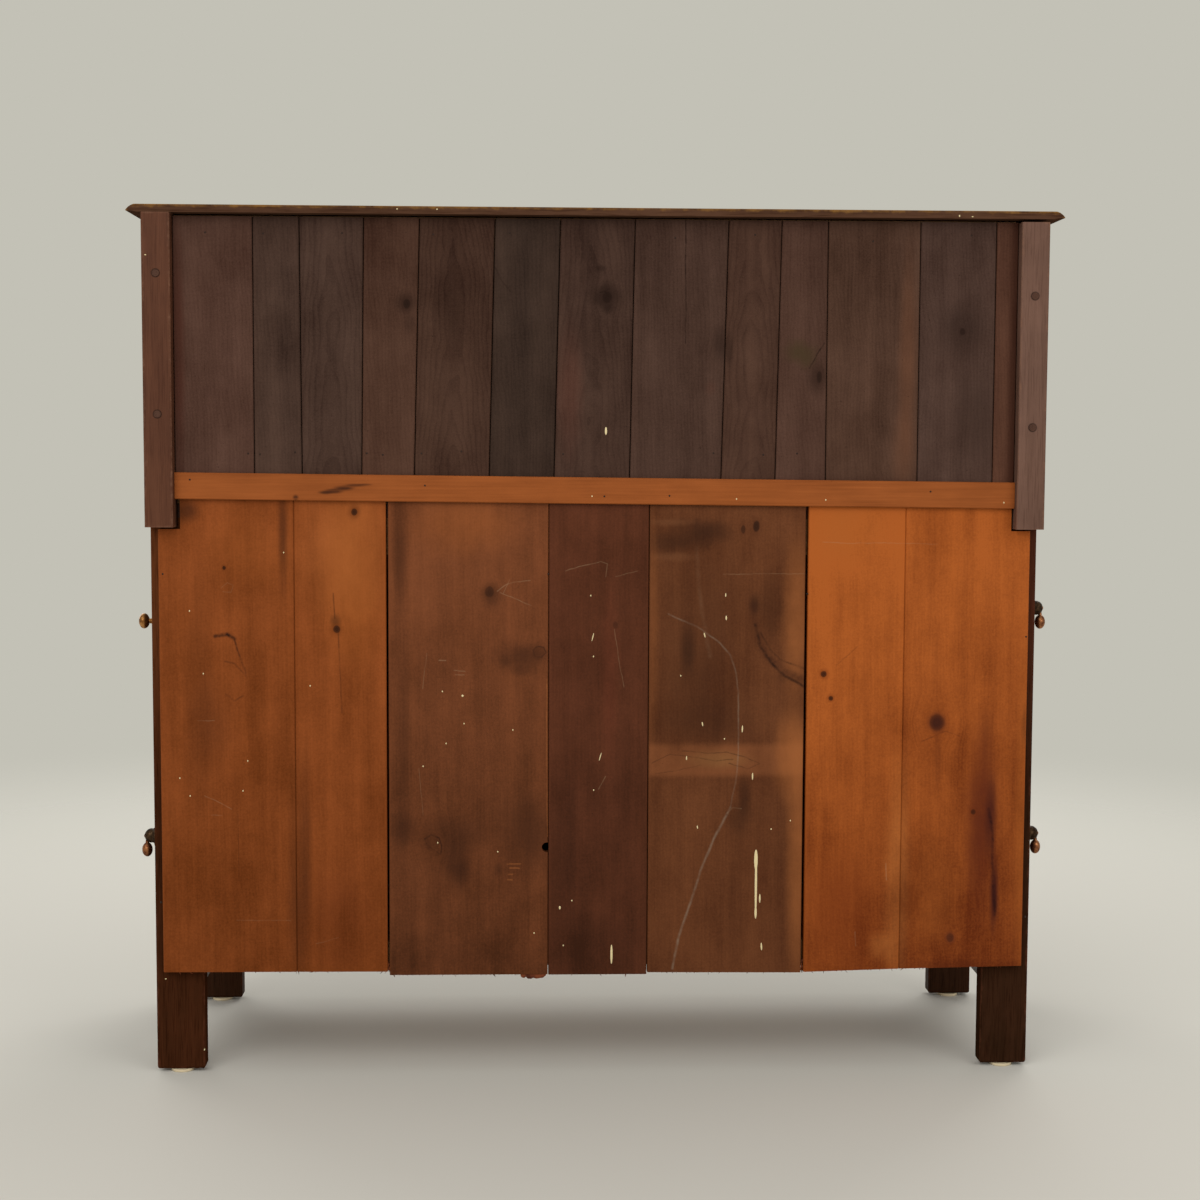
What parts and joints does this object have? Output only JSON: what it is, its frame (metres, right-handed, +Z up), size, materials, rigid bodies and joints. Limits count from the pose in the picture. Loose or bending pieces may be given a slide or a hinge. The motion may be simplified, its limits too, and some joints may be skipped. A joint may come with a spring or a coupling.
{
  "type": "court cupboard",
  "caption": "Two-stage oak court cupboard with a boarded pine back, turned columns under a moulded top, hinged panelled doors, and brass knobs and drop pulls.",
  "frame": {"origin": "on the floor, under the middle of the bounding box", "axes": "+Z up, +X to the right of someone facing the front, the front faces -Y, the back faces +Y"},
  "size_m": [1.2876, 0.4488, 1.207],
  "materials": {
    "dark_oak": "dark stained oak, worn wax",
    "stile_oak": "brown stained oak, dull",
    "inner_oak": "mid brown oak, waxed",
    "upper_board_plum": "dark stained softwood, dull",
    "upper_board_brown": "dark stained softwood, dull",
    "upper_board_dark": "dark stained softwood, dull",
    "orange_pine": "orange pine, dry waxed",
    "brown_pine": "brown stained pine, dry",
    "red_pine": "dark red stained pine, dry",
    "plain_pine": "unfinished pine",
    "brass": "tarnished brass",
    "dark_brass": "blackened brass",
    "iron": "wrought iron, dull",
    "glide": "pale nylon, dull"
  },
  "bodies": {
    "case": {"back_batten": "orange_pine", "back_rails": "plain_pine", "base_top_board": "dark_oak", "bottom_board": "plain_pine", "centre_panel": "inner_oak", "door_pins": "iron", "face_frame": "dark_oak", "foot_glides": "glide", "frieze": "dark_oak", "front_frame": "dark_oak", "left_column": "dark_oak", "left_front_post": "dark_oak", "left_rear_post": "dark_oak", "left_side_frame": "dark_oak", "lower_back_board_1": "orange_pine", "lower_back_board_2": "brown_pine", "lower_back_board_3": "red_pine", "lower_back_board_4": "brown_pine", "lower_back_board_5": "orange_pine", "right_column": "dark_oak", "right_front_post": "dark_oak", "right_rear_post": "dark_oak", "right_side_frame": "dark_oak", "right_side_knob": "brass", "side_panels": "inner_oak", "side_rosettes": "dark_brass", "stile_pegs": "dark_oak", "top_board": "dark_oak", "upper_back_board_01": "upper_board_brown", "upper_back_board_02": "upper_board_dark", "upper_back_board_03": "upper_board_plum", "upper_back_board_04": "upper_board_brown", "upper_back_board_05": "upper_board_dark", "upper_back_board_06": "upper_board_plum", "upper_back_board_07": "upper_board_brown", "upper_back_board_08": "upper_board_dark", "upper_back_board_09": "upper_board_plum", "upper_back_board_10": "upper_board_brown", "upper_back_board_11": "upper_board_dark", "upper_back_board_12": "upper_board_plum", "upper_back_board_13": "upper_board_brown", "upper_left_side": "dark_oak", "upper_left_stile": "stile_oak", "upper_right_side": "dark_oak", "upper_right_stile": "stile_oak"},
    "upper_left_door": {"upper_left_door_frame": "dark_oak", "upper_left_door_panel": "inner_oak", "upper_left_door_knob": "brass"},
    "upper_right_door": {"upper_right_door_frame": "dark_oak", "upper_right_door_panel": "inner_oak", "upper_right_door_knob": "brass"},
    "lower_left_door": {"lower_left_door_frame": "dark_oak", "lower_left_door_panel": "inner_oak", "lower_left_door_knob": "brass"},
    "lower_right_door": {"lower_right_door_frame": "dark_oak", "lower_right_door_panel": "inner_oak", "lower_right_door_knob": "brass"},
    "right_lower_drop": {"right_lower_drop": "brass"},
    "left_lower_drop": {"left_lower_drop": "brass"},
    "left_upper_drop": {"left_upper_drop": "brass"}
  },
  "joints": [
    {"name": "upper_left_door_swing", "type": "hinge", "parent": "case", "child": "upper_left_door", "pos_m": [-0.5235, -0.0786, 0.968], "axis": [0, 0, -1], "range_deg": [0, 90]},
    {"name": "upper_right_door_swing", "type": "hinge", "parent": "case", "child": "upper_right_door", "pos_m": [0.5235, -0.0786, 0.968], "axis": [0, 0, 1], "range_deg": [0, 90]},
    {"name": "lower_left_door_swing", "type": "hinge", "parent": "case", "child": "lower_left_door", "pos_m": [-0.5385, -0.1876, 0.464], "axis": [0, 0, -1], "range_deg": [0, 90]},
    {"name": "lower_right_door_swing", "type": "hinge", "parent": "case", "child": "lower_right_door", "pos_m": [0.5385, -0.1876, 0.464], "axis": [0, 0, 1], "range_deg": [0, 90]},
    {"name": "right_lower_drop_swing", "type": "hinge", "parent": "case", "child": "right_lower_drop", "pos_m": [0.6365, 0.1444, 0.33], "axis": [0, -1, 0], "range_deg": [0, 90]},
    {"name": "left_lower_drop_swing", "type": "hinge", "parent": "case", "child": "left_lower_drop", "pos_m": [-0.6365, 0.1444, 0.33], "axis": [0, 1, 0], "range_deg": [0, 90]},
    {"name": "left_upper_drop_swing", "type": "hinge", "parent": "case", "child": "left_upper_drop", "pos_m": [-0.6365, 0.1444, 0.656], "axis": [0, 1, 0], "range_deg": [0, 90]}
  ]
}
